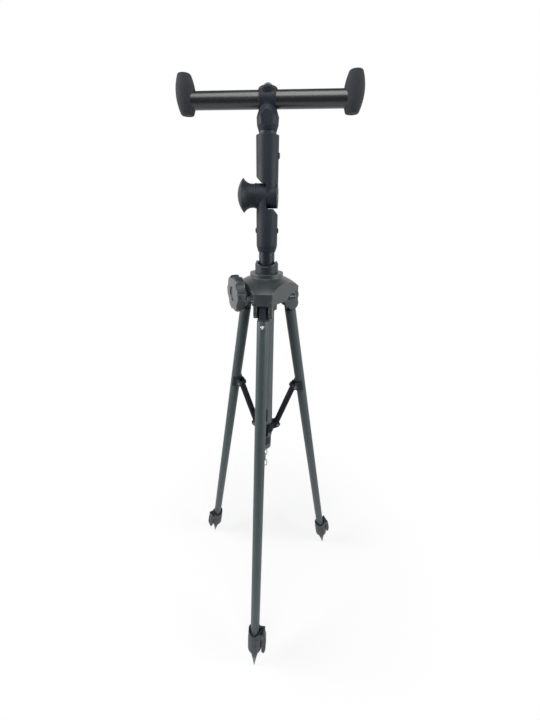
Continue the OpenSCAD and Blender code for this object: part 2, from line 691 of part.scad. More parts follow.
// Strut drawn from its upper pivot along -Z, outside at -Y
module strut(i) color("#1e2225")
  rotate([0, 0, leg_turn[i]]) translate([0, -bracket_r, bracket_z]) rotate([strut_lean, 0, 0]) difference() {
    play = 2;
    slot_r = brace_pin_d / 2 + 0.4;
    eye = slot_r + 2.6;
    union() {
      rod_x(strut_t / 2 + 0.8, -strut_w / 2, strut_w / 2);
      translate([-strut_w / 2, -strut_t / 2, -strut_len]) cube([strut_w, strut_t, strut_len]);
      for (d = [-play, play]) translate([0, 0, -strut_len - d]) rod_x(eye, -strut_w / 2, strut_w / 2);
      translate([-strut_w / 2, -eye, -strut_len - play]) cube([strut_w, 2 * eye, 2 * play]);
    }
    rod_x(brace_pin_d / 2 + run_fit, -20, 20);
    translate([-strut_w / 2 + 1.6, -strut_t, -strut_len + 14])
      cube([strut_w - 3.2, strut_t - 1, strut_len - 22]);
    for (d = [-play, play]) translate([0, 0, -strut_len - d]) rod_x(slot_r, -20, 20);
    translate([-20, -slot_r, -strut_len - play]) cube([40, 2 * slot_r, 2 * play]);
  }

module brace_collar() color("#1b1f22")
  translate([0, 0, brace_z]) difference() {
    lug = 2.4;
    union() {
      translate([0, 0, -brace_half]) cylinder(d = guide_d + 5, h = 2 * brace_half + 4);
      for (a = leg_turn) rotate([0, 0, a]) for (s = [-1, 1])
        translate([s * (strut_w / 2 + face_gap + lug / 2), 0, 0]) rotate([0, 90, 0])
          linear_extrude(lug, center = true) union() {
            translate([-brace_lug, -brace_r]) square([2 * brace_lug, brace_r - 11.5]);
            translate([0, -brace_r]) circle(r = brace_lug);
          }
    }
    translate([0, 0, -20]) cylinder(d = guide_d + 2 * run_fit, h = 40);
    for (a = leg_turn) rotate([0, 0, a]) translate([0, -brace_r, 0])
      rod_x(brace_pin_d / 2 + run_fit, -20, 20);
  }

module brace_pins() color("#b9bdbe")
  for (a = leg_turn) rotate([0, 0, a]) translate([0, -brace_r, brace_z]) {
    out = strut_w / 2 + face_gap + 2.4;
    rod_x(brace_pin_d / 2, -out - 0.6, out + 0.6);
    for (s = [0, 1]) mirror([s, 0, 0]) rod_x(brace_pin_d / 2 + 0.9, out, out + 1.1);
  }

// Oval wire link in the XZ plane, the wire of its top bend centred on the origin
module oval_link()
  translate([0, 0, link_wire / 2]) {
    for (s = [-1, 1]) translate([s * (link_in + link_wire / 2), 0, -link_in - link_straight - link_wire])
      cylinder(d = link_wire, h = link_straight);
    for (s = [0, 1]) translate([0, 0, -link_in - link_wire - link_straight / 2])
      mirror([0, 0, s]) translate([0, 0, link_straight / 2]) rotate([90, 0, 0])
        rotate_extrude(angle = 180) translate([link_in + link_wire / 2, 0]) circle(d = link_wire, $fn = 24);
  }

module hook_chain() color("#9b9c96")
  translate([0, 0, eye_z - 3.4]) {
    pitch = 2 * link_in + link_straight - face_gap;
    for (n = [0 : 2]) translate([0, 0, -0.2 - n * pitch]) rotate([0, 0, n * 90]) oval_link();
  }

hub_body();
guide_tube();
leg_pivot_bolts();
clamp_nut();
hub_collar();
clamp_knob();
clamp_stud();
column_tube();
column_plug();
lower_tilt_sleeve();
lower_sleeve_rivet();
hook_chain();
upper_tilt_sleeve();
upper_sleeve_rivet();
tilt_bolt();
tilt_knob();
tilt_nut();
tilt_washer();
head_stem();
head_body();
head_screw();
cross_bar();
bar_end_plugs();
left_bumper();
right_bumper();
knuckle(front);  // front_knuckle
knuckle(right);  // right_knuckle
knuckle(left);  // left_knuckle
leg_tube(front);  // front_leg_tube
leg_tube(right);  // right_leg_tube
leg_tube(left);  // left_leg_tube
bracket(front);  // front_bracket
bracket(right);  // right_bracket
bracket(left);  // left_bracket
bracket_pin(front);  // front_bracket_pin
bracket_pin(right);  // right_bracket_pin
bracket_pin(left);  // left_bracket_pin
lock_collar(front);  // front_lock_collar
lock_collar(right);  // right_lock_collar
lock_collar(left);  // left_lock_collar
lever(front);  // front_lever
lever(right);  // right_lever
lever(left);  // left_lever
lever_pin(front);  // front_lever_pin
lever_pin(right);  // right_lever_pin
lever_pin(left);  // left_lever_pin
inner_tube(front);  // front_inner_tube
inner_tube(right);  // right_inner_tube
inner_tube(left);  // left_inner_tube
foot_cone(front);  // front_foot_cone
foot_cone(right);  // right_foot_cone
foot_cone(left);  // left_foot_cone
spike(front);  // front_spike
spike(right);  // right_spike
spike(left);  // left_spike
strut(front);  // front_strut
strut(right);  // right_strut
strut(left);  // left_strut
brace_collar();
brace_pins();
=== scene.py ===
import json
import math

import bmesh
import bpy
from mathutils import Matrix, Vector


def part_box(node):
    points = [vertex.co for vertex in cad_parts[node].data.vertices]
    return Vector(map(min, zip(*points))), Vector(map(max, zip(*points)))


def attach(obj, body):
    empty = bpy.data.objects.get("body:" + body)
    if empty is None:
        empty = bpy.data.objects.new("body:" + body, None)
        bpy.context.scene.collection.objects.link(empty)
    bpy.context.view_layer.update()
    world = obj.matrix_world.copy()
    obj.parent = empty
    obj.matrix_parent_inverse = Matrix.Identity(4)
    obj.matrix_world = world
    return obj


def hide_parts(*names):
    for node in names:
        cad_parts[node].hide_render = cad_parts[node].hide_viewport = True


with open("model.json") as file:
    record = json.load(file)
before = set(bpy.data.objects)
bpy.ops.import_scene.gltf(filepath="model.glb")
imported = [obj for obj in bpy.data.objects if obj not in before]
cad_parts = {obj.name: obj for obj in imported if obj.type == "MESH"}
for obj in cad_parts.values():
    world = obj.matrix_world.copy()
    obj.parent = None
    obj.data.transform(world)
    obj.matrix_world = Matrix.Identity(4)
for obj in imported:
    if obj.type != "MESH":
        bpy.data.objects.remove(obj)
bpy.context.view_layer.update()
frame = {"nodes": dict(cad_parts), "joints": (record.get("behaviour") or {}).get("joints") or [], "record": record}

nodes = frame["nodes"]
scene = bpy.context.scene
scene.view_settings.view_transform = "Standard"
legSides = ("front", "right", "left")
print("frame loaded:", len(nodes), "nodes")


# viewpoint of the photograph, found by fitting the leg lines
viewpoint = {
    "place": (0.042186, -0.388694, 0.777309), "yaw": 5.286, "pitch": 27.458, "roll": 0.872,
    "lens": 14.5, "sensor": 36, "near": 0.01, "far": 60}


def placeCamera(v):
    yaw, pitch, roll = (math.radians(v[k]) for k in ("yaw", "pitch", "roll"))
    ahead = Vector((-math.sin(yaw), math.cos(yaw), 0))
    look = ahead * math.cos(pitch) - Vector((0, 0, math.sin(pitch)))
    side = Vector((math.cos(yaw), math.sin(yaw), 0))
    top = side.cross(look)
    sideRolled = side * math.cos(roll) + top * math.sin(roll)
    topRolled = top * math.cos(roll) - side * math.sin(roll)
    camData = bpy.data.cameras.new("photoCamera")
    camData.sensor_width = v["sensor"]
    camData.lens = v["lens"]
    camData.clip_start = v["near"]
    camData.clip_end = v["far"]
    cam = bpy.data.objects.new("photoCamera", camData)
    scene.collection.objects.link(cam)
    turn = Matrix((sideRolled, topRolled, -look)).transposed().to_4x4()
    cam.matrix_world = Matrix.Translation(Vector(v["place"])) @ turn
    scene.camera = cam


placeCamera(viewpoint)
print("camera placed")


# helpers for all node trees: a number is set on the socket, anything else is linked to it
def feed(tree, socket, value):
    if isinstance(value, (int, float)):
        socket.default_value = value
    else:
        tree.links.new(value, socket)


def mathNode(tree, operation, first, second=0):
    node = tree.nodes.new("ShaderNodeMath")
    node.operation = operation
    feed(tree, node.inputs[0], first)
    feed(tree, node.inputs[1], second)
    return node.outputs[0]


def spread(tree, value, start, end, toStart=0, toEnd=1, smooth=False):
    node = tree.nodes.new("ShaderNodeMapRange")
    if smooth:
        node.interpolation_type = "SMOOTHSTEP"
    labels = ("Value", "From Min", "From Max", "To Min", "To Max")
    for label, given in zip(labels, (value, start, end, toStart, toEnd)):
        feed(tree, node.inputs[label], given)
    return node.outputs["Result"]


def splitXyz(tree, vector):
    node = tree.nodes.new("ShaderNodeSeparateXYZ")
    tree.links.new(vector, node.inputs[0])
    return node.outputs


def joinXyz(tree, x, y, z):
    node = tree.nodes.new("ShaderNodeCombineXYZ")
    for place, value in enumerate((x, y, z)):
        feed(tree, node.inputs[place], value)
    return node.outputs[0]


def newGroup(name, kind, takes, gives):
    group = bpy.data.node_groups.new(name, kind)
    for way, sockets in (("INPUT", takes), ("OUTPUT", gives)):
        for label, holds in sockets.items():
            group.interface.new_socket(label, in_out=way, socket_type="NodeSocket" + holds)
    given = group.nodes.new("NodeGroupInput").outputs
    result = group.nodes.new("NodeGroupOutput").inputs
    return group, given, result


def mixShaders(tree, factor, first, second, target):
    mix = tree.nodes.new("ShaderNodeMixShader")
    for place, value in enumerate((factor, first, second)):
        tree.links.new(value, mix.inputs[place])
    tree.links.new(mix.outputs[0], target)


# surround: white at the back, the sides and below, dim overhead and low on the camera's side
surround = {
    "fill": 0.5, "fillTint": (0.97, 0.985, 1, 1), "dim": 0.12,
    "towardsCamera": (-0.4, -0.8), "lowDown": (0.5, 0.3), "overhead": (0.5, 0.8)}


def buildSurround(s):
    world = bpy.data.worlds.new("studioWorld")
    scene.world = world
    world.use_nodes = True
    t = world.node_tree
    t.nodes.clear()
    out = t.nodes.new("ShaderNodeOutputWorld")
    ray = t.nodes.new("ShaderNodeLightPath").outputs
    way = splitXyz(t, t.nodes.new("ShaderNodeTexCoord").outputs["Generated"])
    front = spread(t, way["Y"], *s["towardsCamera"], smooth=True)
    low = spread(t, way["Z"], *s["lowDown"], smooth=True)
    above = spread(t, way["Z"], *s["overhead"], smooth=True)
    dark = mathNode(t, "MAXIMUM", mathNode(t, "MULTIPLY", front, low), above)
    dimmed = mathNode(t, "SUBTRACT", dark, ray["Is Camera Ray"])  # the camera sees white everywhere
    dimmed.node.use_clamp = True
    level = spread(t, dimmed, 0, 1, 1, s["dim"])

    def light(color, strength):
        node = t.nodes.new("ShaderNodeBackground")
        node.inputs["Color"].default_value = color
        t.links.new(strength, node.inputs["Strength"])
        return node.outputs[0]

    fill = light(s["fillTint"], mathNode(t, "MULTIPLY", level, s["fill"]))
    white = light((1, 1, 1, 1), level)
    direct = mathNode(t, "MAXIMUM", ray["Is Camera Ray"], ray["Is Glossy Ray"])
    direct = mathNode(t, "MAXIMUM", direct, ray["Is Transmission Ray"])
    mixShaders(t, direct, fill, white, out.inputs[0])


buildSurround(surround)


# pale floor: keeps the shadow near the feet, turns white further out, and is dimmer in reflections
# everywhere but far behind the object
floorPlan = {
    "half": 7, "cuts": 8, "front": -0.75, "drop": 0.0005, "tone": 0.9,
    "lift": 0.65, "whiteFrom": 0.15, "whiteTo": 0.5, "shine": 0.62, "shineFrom": 0.3, "shineTo": 1.5}


def buildFloor(s):
    bm = bmesh.new()
    bmesh.ops.create_grid(bm, x_segments=s["cuts"], y_segments=s["cuts"], size=s["half"])
    mesh = bpy.data.meshes.new("studioFloor")
    bm.to_mesh(mesh)
    bm.free()
    mesh.transform(Matrix.Translation((0, s["half"] + s["front"], -s["drop"])))
    floor = bpy.data.objects.new("studioFloor", mesh)
    scene.collection.objects.link(floor)
    mat = bpy.data.materials.new("paleFloor")
    mat.use_nodes = True
    t = mat.node_tree
    t.nodes.clear()
    out = t.nodes.new("ShaderNodeOutputMaterial")
    matt = t.nodes.new("ShaderNodeBsdfDiffuse")
    matt.inputs["Color"].default_value = (s["tone"], s["tone"], s["tone"], 1)
    glow = t.nodes.new("ShaderNodeEmission")
    glow.inputs["Color"].default_value = (1, 1, 1, 1)
    ray = t.nodes.new("ShaderNodeLightPath").outputs
    where = t.nodes.new("ShaderNodeTexCoord").outputs["Object"]
    backwards = spread(t, splitXyz(t, where)["Y"], s["shineFrom"], s["shineTo"], s["shine"], 1)
    t.links.new(spread(t, ray["Is Glossy Ray"], 0, 1, 1, backwards), glow.inputs["Strength"])
    away = t.nodes.new("ShaderNodeVectorMath")
    away.operation = "LENGTH"
    t.links.new(where, away.inputs[0])
    distance = away.outputs["Value"]
    reach = spread(t, distance, s["whiteFrom"], s["whiteTo"], s["lift"], 1, smooth=True)
    direct = mathNode(t, "MAXIMUM", ray["Is Camera Ray"], ray["Is Glossy Ray"])
    show = mathNode(t, "MULTIPLY", direct, reach)
    mixShaders(t, show, matt.outputs[0], glow.outputs[0], out.inputs["Surface"])
    mesh.materials.append(mat)


buildFloor(floorPlan)


# soft lamps in front and on both sides
lamps = {
    "frontLamp": dict(place=(0.0, -1.0, 2.35), aim=(0, 0, 0.75), size=1.7, power=25),
    "leftLamp": dict(place=(-1.5, -0.4, 1.1), aim=(0, 0, 0.65), size=1.1, power=24),
    "rightLamp": dict(place=(1.5, -0.4, 1.05), aim=(0, 0, 0.65), size=1.1, power=14)}


def hangLamp(name, s):
    data = bpy.data.lights.new(name, "AREA")
    data.shape = "DISK"
    data.size = s["size"]
    data.energy = s["power"]
    lamp = bpy.data.objects.new(name, data)
    scene.collection.objects.link(lamp)
    lamp.location = s["place"]
    beam = Vector(s["aim"]) - Vector(s["place"])
    lamp.rotation_euler = beam.to_track_quat("-Z", "Y").to_euler()


for lampName, lampPlan in lamps.items():
    hangLamp(lampName, lampPlan)
print("studio built")


# textures for the shader groups that the finishes share
def noiseOn(tree, vector, scale, detail):
    node = tree.nodes.new("ShaderNodeTexNoise")
    feed(tree, node.inputs["Scale"], scale)
    node.inputs["Detail"].default_value = detail
    tree.links.new(vector, node.inputs["Vector"])
    return node.outputs["Fac"]


def cellsOn(tree, vector, scale):
    node = tree.nodes.new("ShaderNodeTexVoronoi")
    feed(tree, node.inputs["Scale"], scale)
    tree.links.new(vector, node.inputs["Vector"])
    return node.outputs["Distance"]


def addShares(tree, first, firstShare, second, secondShare):
    one = mathNode(tree, "MULTIPLY", first, firstShare)
    other = mathNode(tree, "MULTIPLY", second, secondShare)
    return mathNode(tree, "ADD", one, other)


# fine moulded texture, and slow changes of tone over a piece
grainLook = {
    "fineDetail": 3, "broadScale": 38, "broadDetail": 4,
    "cellsInHeight": 0.5, "fineInHeight": 0.5, "broadInTone": 0.7, "fineInTone": 0.3}


def buildMouldGrain(s):
    g, given, result = newGroup(
        "mouldGrain", "ShaderNodeTree",
        {"Vector": "Vector", "Fineness": "Float"}, {"Tone": "Float", "Height": "Float"})
    cells = cellsOn(g, given["Vector"], given["Fineness"])
    fine = noiseOn(g, given["Vector"], given["Fineness"], s["fineDetail"])
    broad = noiseOn(g, given["Vector"], s["broadScale"], s["broadDetail"])
    g.links.new(addShares(g, cells, s["cellsInHeight"], fine, s["fineInHeight"]), result["Height"])
    g.links.new(addShares(g, broad, s["broadInTone"], fine, s["fineInTone"]), result["Tone"])
    return g


# softened edges, with a broken mask where they are rubbed; on finishes with a light edge tone the mask paints a
# highlight along the rim
edgeWearAndHighlightLook = {
    "samples": 6, "edgeFrom": 0.995, "edgeTo": 0.86,
    "breakScale": 420, "breakDetail": 5, "breakFrom": 0.38, "breakTo": 0.62, "least": 0.35}


def buildEdgeWearAndHighlightMask(s):
    g, given, result = newGroup(
        "edgeWearAndHighlightMask", "ShaderNodeTree",
        {"Vector": "Vector", "Radius": "Float"}, {"Mask": "Float", "Normal": "Vector"})
    soft = g.nodes.new("ShaderNodeBevel")
    soft.samples = s["samples"]
    g.links.new(given["Radius"], soft.inputs["Radius"])
    shape = g.nodes.new("ShaderNodeNewGeometry")
    dot = g.nodes.new("ShaderNodeVectorMath")
    dot.operation = "DOT_PRODUCT"
    g.links.new(soft.outputs["Normal"], dot.inputs[0])
    g.links.new(shape.outputs["Normal"], dot.inputs[1])
    edge = spread(g, dot.outputs["Value"], s["edgeFrom"], s["edgeTo"])
    patches = noiseOn(g, given["Vector"], s["breakScale"], s["breakDetail"])
    broken = spread(g, patches, s["breakFrom"], s["breakTo"], s["least"], 1)
    g.links.new(mathNode(g, "MULTIPLY", edge, broken), result["Mask"])
    g.links.new(soft.outputs["Normal"], result["Normal"])
    return g


# upright smears from handling, and specks of dust
marksLook = {
    "upright": 0.22, "smearScale": 60, "smearDetail": 6, "smearFrom": 0.5, "smearTo": 0.75, "smear": 0.8,
    "speckScale": 700, "speckFrom": 0.12, "speckTo": 0.02}


def buildHandMarks(s):
    g, given, result = newGroup(
        "handMarks", "ShaderNodeTree", {"Vector": "Vector", "Amount": "Float"}, {"Mask": "Float"})
    stretched = g.nodes.new("ShaderNodeMapping")
    stretched.inputs["Scale"].default_value = (1, 1, s["upright"])
    g.links.new(given["Vector"], stretched.inputs["Vector"])
    smear = noiseOn(g, stretched.outputs["Vector"], s["smearScale"], s["smearDetail"])
    smear = spread(g, smear, s["smearFrom"], s["smearTo"], 0, s["smear"])
    dust = spread(g, cellsOn(g, given["Vector"], s["speckScale"]), s["speckFrom"], s["speckTo"])
    both = mathNode(g, "MAXIMUM", smear, dust)
    g.links.new(mathNode(g, "MULTIPLY", both, given["Amount"]), result["Mask"])
    return g


# fine lines along a drawn tube
linesLook = {"scale": 1, "detail": 3}


def buildDrawnLines(s):
    g, given, result = newGroup(
        "drawnLines", "ShaderNodeTree", {"Vector": "Vector", "Stretch": "Vector"}, {"Tone": "Float"})
    drawn = g.nodes.new("ShaderNodeVectorMath")
    drawn.operation = "MULTIPLY"
    g.links.new(given["Vector"], drawn.inputs[0])
    g.links.new(given["Stretch"], drawn.inputs[1])
    g.links.new(noiseOn(g, drawn.outputs["Vector"], s["scale"], s["detail"]), result["Tone"])
    return g


mouldGrain = buildMouldGrain(grainLook)
edgeWearAndHighlightMask = buildEdgeWearAndHighlightMask(edgeWearAndHighlightLook)
handMarks = buildHandMarks(marksLook)
drawnLines = buildDrawnLines(linesLook)
print("shader groups built")


def startFinish(name):
    mat = bpy.data.materials.new(name)
    mat.use_nodes = True
    tree = mat.node_tree
    where = tree.nodes.new("ShaderNodeTexCoord").outputs["Object"]
    return mat, tree, tree.nodes["Principled BSDF"].inputs, where


def placeGroup(tree, group, vector, **values):
    node = tree.nodes.new("ShaderNodeGroup")
    node.node_tree = group
    tree.links.new(vector, node.inputs["Vector"])
    for label, value in values.items():
        node.inputs[label].default_value = value
    return node.outputs


def blendColor(tree, factor, first, second):
    node = tree.nodes.new("ShaderNodeMix")
    node.data_type = "RGBA"
    tree.links.new(factor, node.inputs["Factor"])
    for place, value in ((6, first), (7, second)):  # the node's two colour sockets
        if isinstance(value, tuple):
            node.inputs[place].default_value = (*value, 1)
        else:
            tree.links.new(value, node.inputs[place])
    return node.outputs[2]


def bumpInto(tree, target, height, strength, depth, normal=None):
    bump = tree.nodes.new("ShaderNodeBump")
    bump.inputs["Strength"].default_value = strength
    bump.inputs["Distance"].default_value = depth
    tree.links.new(height, bump.inputs["Height"])
    if normal:
        tree.links.new(normal, bump.inputs["Normal"])
    tree.links.new(bump.outputs["Normal"], target)


toneFrom, toneTo = 0.3, 0.7  # tones at which a finish has its least and its greatest roughness

# moulded plastics: dark and light tone, tone of rubbed edges and hand marks (on the collar a painted rim
# highlight), roughness range, fineness of the grain, bump, specular level, width of the edges in metres, strength
# of the hand marks
plastics = {
    "hub_plastic": dict(
        dark=(0.019, 0.027, 0.029), light=(0.03, 0.039, 0.041), wearAndHighlightTone=(0.14, 0.155, 0.16),
        rough=(0.34, 0.46), grain=1500, bump=0.12, spec=0.8, edge=0.0011, marks=0.35),
    "sleeve_plastic": dict(
        dark=(0.015, 0.02, 0.028), light=(0.024, 0.03, 0.039), wearAndHighlightTone=(0.07, 0.078, 0.086),
        rough=(0.42, 0.58), grain=1700, bump=0.16, spec=0.2, edge=0.0007, marks=0.3),
    # collar: the light edge tone over a wide edge is a painted highlight along the rim
    "collar_plastic_painted_rim_highlight": dict(
        dark=(0.013, 0.018, 0.026), light=(0.021, 0.027, 0.036), wearAndHighlightTone=(0.2, 0.21, 0.22),
        rough=(0.36, 0.5), grain=1700, bump=0.12, spec=0.4, edge=0.0014, marks=0.3),
    "black_plastic": dict(
        dark=(0.008, 0.011, 0.017), light=(0.014, 0.018, 0.025), wearAndHighlightTone=(0.05, 0.055, 0.06),
        rough=(0.42, 0.58), grain=1600, bump=0.14, spec=0.4, edge=0.0005, marks=0.3),
    "knob_plastic": dict(
        dark=(0.022, 0.03, 0.035), light=(0.034, 0.044, 0.05), wearAndHighlightTone=(0.12, 0.135, 0.145),
        rough=(0.26, 0.38), grain=1400, bump=0.06, spec=0.9, edge=0.0012, marks=0.4),
    "tilt_plastic": dict(
        dark=(0.015, 0.02, 0.026), light=(0.024, 0.03, 0.037), wearAndHighlightTone=(0.08, 0.088, 0.096),
        rough=(0.46, 0.6), grain=1500, bump=0.12, spec=0.25, edge=0.0009, marks=0.35),
    "brace_plastic": dict(
        dark=(0.006, 0.009, 0.014), light=(0.011, 0.014, 0.021), wearAndHighlightTone=(0.04, 0.046, 0.054),
        rough=(0.42, 0.58), grain=1500, bump=0.14, spec=0.1, edge=0.0007, marks=0.3),
    "lock_plastic": dict(
        dark=(0.028, 0.034, 0.041), light=(0.042, 0.05, 0.058), wearAndHighlightTone=(0.11, 0.12, 0.128),
        rough=(0.4, 0.56), grain=1500, bump=0.16, spec=0.45, edge=0.0009, marks=0.4)}
# how far hand marks and rubbed edges change the colour (on finishes with a light edge tone the edges are a painted
# rim highlight), and how far the marks dull the gloss
plasticWear = {"marks": 0.4, "edgeWearAndHighlight": 0.6, "dulling": 0.12, "bumpDepth": 0.0004}


def moulded(name, f, wear):
    mat, t, shader, where = startFinish(name)
    grain = placeGroup(t, mouldGrain, where, Fineness=f["grain"])
    edgeWearAndHighlight = placeGroup(t, edgeWearAndHighlightMask, where, Radius=f["edge"])
    marks = placeGroup(t, handMarks, where, Amount=f["marks"])
    base = blendColor(t, grain["Tone"], f["dark"], f["light"])
    base = blendColor(t, mathNode(t, "MULTIPLY", marks["Mask"], wear["marks"]), base, f["wearAndHighlightTone"])
    # rubbed edges lighten the colour; on the collar this edge tone is a painted rim highlight
    base = blendColor(t, mathNode(t, "MULTIPLY", edgeWearAndHighlight["Mask"], wear["edgeWearAndHighlight"]), base, f["wearAndHighlightTone"])
    t.links.new(base, shader["Base Color"])
    rough = spread(t, grain["Tone"], toneFrom, toneTo, *f["rough"])
    dulling = mathNode(t, "MULTIPLY", marks["Mask"], wear["dulling"])
    t.links.new(mathNode(t, "ADD", rough, dulling), shader["Roughness"])
    shader["Specular IOR Level"].default_value = f["spec"]
    bumpInto(t, shader["Normal"], grain["Height"], f["bump"], wear["bumpDepth"], edgeWearAndHighlight["Normal"])
    return mat


# coated and bare metals: tones and roughness as above, share of metal, stretch of the drawn lines
metals = {
    "leg_metal": dict(
        dark=(0.056, 0.075, 0.08), light=(0.07, 0.091, 0.097), wearAndHighlightTone=(0.2, 0.22, 0.225),
        rough=(0.34, 0.46), metal=0.3, spec=0.5, edge=0.0005, bump=0.05, stretch=(700, 700, 9)),
    # guide_metal is a lighter, glossier copy of leg_metal: the lighter tone is painted light, for the guide tube
    # that stands in the front leg's shade
    "guide_metal": dict(
        dark=(0.08, 0.1, 0.106), light=(0.1, 0.122, 0.13), wearAndHighlightTone=(0.24, 0.26, 0.265),
        rough=(0.26, 0.36), metal=0.3, spec=0.8, edge=0.0005, bump=0.05, stretch=(700, 700, 9)),
    "column_metal": dict(
        dark=(0.013, 0.018, 0.025), light=(0.021, 0.027, 0.035), wearAndHighlightTone=(0.12, 0.13, 0.135),
        rough=(0.3, 0.42), metal=0.2, spec=0.4, edge=0.0005, bump=0.05, stretch=(700, 700, 9)),
    "bar_metal": dict(
        dark=(0.008, 0.01, 0.011), light=(0.013, 0.015, 0.017), wearAndHighlightTone=(0.1, 0.1, 0.1),
        rough=(0.24, 0.34), metal=0.0, spec=1.0, edge=0.0004, bump=0.03, stretch=(9, 700, 700)),
    "inner_metal": dict(
        dark=(0.3, 0.31, 0.32), light=(0.4, 0.41, 0.42), wearAndHighlightTone=(0.5, 0.5, 0.5),
        rough=(0.3, 0.42), metal=1.0, spec=0.5, edge=0.0004, bump=0.05, stretch=(700, 700, 9)),
    "spike_metal": dict(
        dark=(0.14, 0.147, 0.137), light=(0.24, 0.25, 0.235), wearAndHighlightTone=(0.42, 0.43, 0.41),
        rough=(0.4, 0.56), metal=0.6, spec=0.5, edge=0.0006, bump=0.12, stretch=(500, 500, 160)),
    "steel": dict(
        dark=(0.16, 0.165, 0.17), light=(0.26, 0.265, 0.27), wearAndHighlightTone=(0.45, 0.45, 0.45),
        rough=(0.24, 0.38), metal=1.0, spec=0.5, edge=0.0004, bump=0.04, stretch=(300, 900, 900)),
    # dark steel of the leg pivot bolts: its light edge tone is partly worn steel and partly a painted highlight
    # ring
    "dark_steel_rim_wear_and_painted_highlight": dict(
        dark=(0.03, 0.034, 0.037), light=(0.06, 0.065, 0.07), wearAndHighlightTone=(0.6, 0.61, 0.61),
        rough=(0.24, 0.36), metal=0.8, spec=0.5, edge=0.0012, bump=0.05, stretch=(600, 600, 600)),
    "bright_chrome": dict(
        dark=(0.68, 0.69, 0.7), light=(0.8, 0.81, 0.82), wearAndHighlightTone=(0.9, 0.9, 0.9),
        rough=(0.06, 0.16), metal=1.0, spec=0.5, edge=0.0004, bump=0.03, stretch=(300, 300, 300)),
    "brass_insert": dict(
        dark=(0.42, 0.32, 0.13), light=(0.6, 0.47, 0.22), wearAndHighlightTone=(0.75, 0.62, 0.35),
        rough=(0.2, 0.34), metal=1.0, spec=0.5, edge=0.0004, bump=0.04, stretch=(40, 900, 900))}
# strength of the hand marks, and how far rubbed edges and marks change the colour and the gloss (on finishes with
# a light edge tone the edges are a painted rim highlight)
metalWear = {"marks": 0.4, "edgeWearAndHighlight": 0.7, "dulling": 0.15, "bumpDepth": 0.0003}


def coated(name, f, wear):
    mat, t, shader, where = startFinish(name)
    lines = placeGroup(t, drawnLines, where, Stretch=f["stretch"])
    edgeWearAndHighlight = placeGroup(t, edgeWearAndHighlightMask, where, Radius=f["edge"])
    marks = placeGroup(t, handMarks, where, Amount=wear["marks"])
    base = blendColor(t, lines["Tone"], f["dark"], f["light"])
    # rubbed edges lighten the colour; on the dark steel of the pivot bolts this edge tone is partly a painted
    # highlight ring
    base = blendColor(t, mathNode(t, "MULTIPLY", edgeWearAndHighlight["Mask"], wear["edgeWearAndHighlight"]), base, f["wearAndHighlightTone"])
    t.links.new(base, shader["Base Color"])
    rough = spread(t, lines["Tone"], toneFrom, toneTo, *f["rough"])
    dulling = mathNode(t, "MULTIPLY", marks["Mask"], wear["dulling"])
    t.links.new(mathNode(t, "ADD", rough, dulling), shader["Roughness"])
    shader["Metallic"].default_value = f["metal"]
    shader["Specular IOR Level"].default_value = f["spec"]
    bumpInto(t, shader["Normal"], lines["Tone"], f["bump"], wear["bumpDepth"], edgeWearAndHighlight["Normal"])
    return mat


# closed-cell foam of the bumpers
foam = {
    "dark": (0.022, 0.025, 0.03), "light": (0.042, 0.046, 0.052), "dust": (0.06, 0.062, 0.065),
    "pores": 2600, "marks": 0.5, "dusting": 0.35, "rough": (0.72, 0.9), "spec": 0.2,
    "sheen": 0.06, "sheenRough": 0.5, "bump": 0.35, "bumpDepth": 0.0004}


def closedCellFoam(name, f):
    mat, t, shader, where = startFinish(name)
    grain = placeGroup(t, mouldGrain, where, Fineness=f["pores"])
    marks = placeGroup(t, handMarks, where, Amount=f["marks"])
    base = blendColor(t, grain["Height"], f["dark"], f["light"])
    base = blendColor(t, mathNode(t, "MULTIPLY", marks["Mask"], f["dusting"]), base, f["dust"])
    t.links.new(base, shader["Base Color"])
    t.links.new(spread(t, grain["Tone"], toneFrom, toneTo, *f["rough"]), shader["Roughness"])
    shader["Specular IOR Level"].default_value = f["spec"]
    shader["Sheen Weight"].default_value = f["sheen"]
    shader["Sheen Roughness"].default_value = f["sheenRough"]
    bumpInto(t, shader["Normal"], grain["Height"], f["bump"], f["bumpDepth"])
    return mat


materials = {name: moulded(name, f, plasticWear) for name, f in plastics.items()}
materials.update({name: coated(name, f, metalWear) for name, f in metals.items()})
materials["foam"] = closedCellFoam("foam", foam)

# nodes that look a shade apart from the rest of their slot; the collar and pivot-bolt finishes carry painted rim
# highlights, and guide_metal's lighter tone is painted light
ownFinish = {
    "tilt_knob": "tilt_plastic", "leg_pivot_bolts": "dark_steel_rim_wear_and_painted_highlight", "hub_collar": "collar_plastic_painted_rim_highlight",
    "guide_tube": "guide_metal", "column_plug": "guide_metal"}
for side in legSides:
    ownFinish[side + "_bracket"] = "black_plastic"
    ownFinish[side + "_knuckle"] = "sleeve_plastic"
for sub in frame["record"]["subparts"]:
    mesh = nodes[sub["node"]].data
    mesh.materials.clear()
    mesh.materials.append(materials[ownFinish.get(sub["node"], sub["material_slot"])])
print("finishes given to the frame's nodes:", len(materials))


# geometry trees for the pieces that follow a rule or repeat
def endTree(tree, shape, material, result):
    real = tree.nodes.new("GeometryNodeRealizeInstances")
    dress = tree.nodes.new("GeometryNodeSetMaterial")
    tree.links.new(shape, real.inputs["Geometry"])
    tree.links.new(real.outputs["Geometry"], dress.inputs["Geometry"])
    tree.links.new(material, dress.inputs["Material"])
    tree.links.new(dress.outputs["Geometry"], result["Geometry"])


